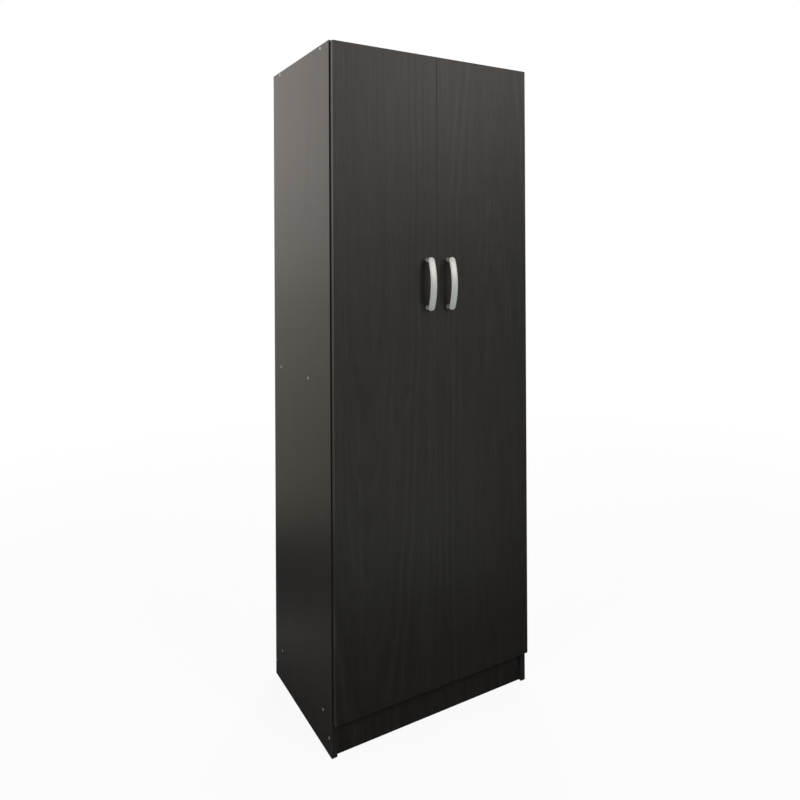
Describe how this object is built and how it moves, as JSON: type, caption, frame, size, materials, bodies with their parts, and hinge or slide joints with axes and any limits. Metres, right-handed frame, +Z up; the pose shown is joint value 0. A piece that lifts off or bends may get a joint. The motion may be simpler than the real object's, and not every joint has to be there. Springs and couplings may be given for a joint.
{
  "type": "wardrobe",
  "caption": "Tall wardrobe with overlay doors on concealed hinges, bow handles, a middle shelf, a clothes rail and a recessed plinth.",
  "frame": {"origin": "on the floor, in the middle of the box round the whole wardrobe, handles and back joint strip included", "axes": "+X to the right for someone who faces the doors, +Y from the doors to the back, +Z up"},
  "size_m": [0.6, 0.511, 1.8],
  "materials": {
    "carcass_board": "satin dark wenge-look melamine, vertical grain",
    "door_board": "satin dark wenge-look melamine, vertical grain",
    "hardboard": "matte brown hardboard",
    "handle": "satin silver lacquer",
    "hinge_steel": "nickel-plated",
    "fasteners": "bright zinc-plated",
    "rail": "polished",
    "plastic": "matte dark brown",
    "bumper": "soft translucent silicone"
  },
  "bodies": {
    "carcass": {"left_side_panel": "carcass_board", "right_side_panel": "carcass_board", "top_panel": "carcass_board", "bottom_panel": "carcass_board", "middle_shelf": "carcass_board", "front_kickboard": "carcass_board", "rear_kickboard": "carcass_board", "upper_back": "hardboard", "lower_back": "hardboard", "back_joint_strip": "plastic", "back_nails": "fasteners", "left_carcass_screws": "fasteners", "right_carcass_screws": "fasteners", "clothes_rail": "rail", "left_rail_socket": "plastic", "right_rail_socket": "plastic", "rail_socket_screws": "fasteners", "door_bumpers": "bumper", "left_hinge_plate_screws": "fasteners", "left_hinge_arm_1": "hinge_steel", "left_hinge_arm_2": "hinge_steel", "left_hinge_arm_3": "hinge_steel", "left_hinge_plate_1": "hinge_steel", "left_hinge_plate_2": "hinge_steel", "left_hinge_plate_3": "hinge_steel", "right_hinge_plate_screws": "fasteners", "right_hinge_arm_1": "hinge_steel", "right_hinge_arm_2": "hinge_steel", "right_hinge_arm_3": "hinge_steel", "right_hinge_plate_1": "hinge_steel", "right_hinge_plate_2": "hinge_steel", "right_hinge_plate_3": "hinge_steel"},
    "left_door_leaf": {"left_door": "door_board", "left_handle": "handle", "left_handle_screws": "fasteners", "left_hinge_cup_screws": "fasteners", "left_hinge_cup_1": "hinge_steel", "left_hinge_cup_2": "hinge_steel", "left_hinge_cup_3": "hinge_steel", "left_hinge_pin_1": "hinge_steel", "left_hinge_pin_2": "hinge_steel", "left_hinge_pin_3": "hinge_steel"},
    "right_door_leaf": {"right_door": "door_board", "right_handle": "handle", "right_handle_screws": "fasteners", "right_hinge_cup_screws": "fasteners", "right_hinge_cup_1": "hinge_steel", "right_hinge_cup_2": "hinge_steel", "right_hinge_cup_3": "hinge_steel", "right_hinge_pin_1": "hinge_steel", "right_hinge_pin_2": "hinge_steel", "right_hinge_pin_3": "hinge_steel"}
  },
  "joints": [
    {"name": "left_door_hinge", "type": "hinge", "parent": "carcass", "child": "left_door_leaf", "pos_m": [-0.29, -0.2105, 0.943], "axis": [0, 0, -1], "range_deg": [0, 95]},
    {"name": "right_door_hinge", "type": "hinge", "parent": "carcass", "child": "right_door_leaf", "pos_m": [0.29, -0.2105, 0.943], "axis": [0, 0, 1], "range_deg": [0, 95]}
  ]
}
